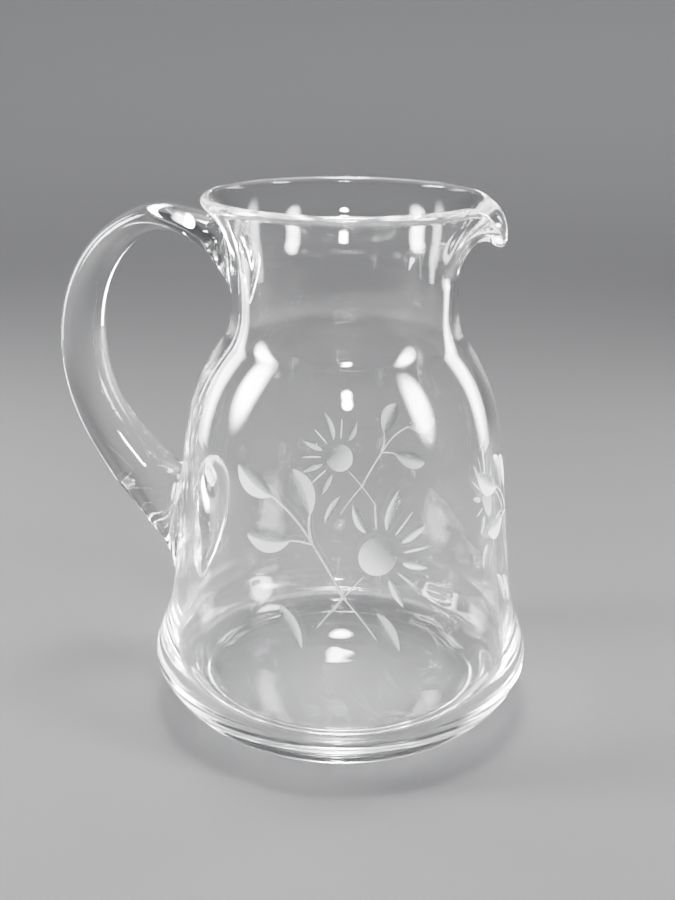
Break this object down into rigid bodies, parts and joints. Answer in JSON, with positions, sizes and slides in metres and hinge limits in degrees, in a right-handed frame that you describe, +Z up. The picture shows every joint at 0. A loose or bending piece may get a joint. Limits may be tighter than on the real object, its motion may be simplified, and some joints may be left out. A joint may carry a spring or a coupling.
{
  "type": "glass pouring jug",
  "caption": "Clear glass jug with a heavy bulged base, short neck, flared rim, pulled pouring lip and drawn handle; wheel-cut flower sprays round the body.",
  "frame": {"origin": "centre of the flat foot that the jug stands on", "axes": "+Z up the jug's turning axis, +X out through the pouring lip, the handle at -X"},
  "size_m": [0.1936, 0.1466, 0.2],
  "materials": {
    "body_glass": "clear, fire-polished, with grey matt wheel cutting",
    "handle_glass": "clear, fire-polished"
  },
  "bodies": {
    "root": {"body": "body_glass", "handle": "handle_glass"}
  },
  "joints": []
}
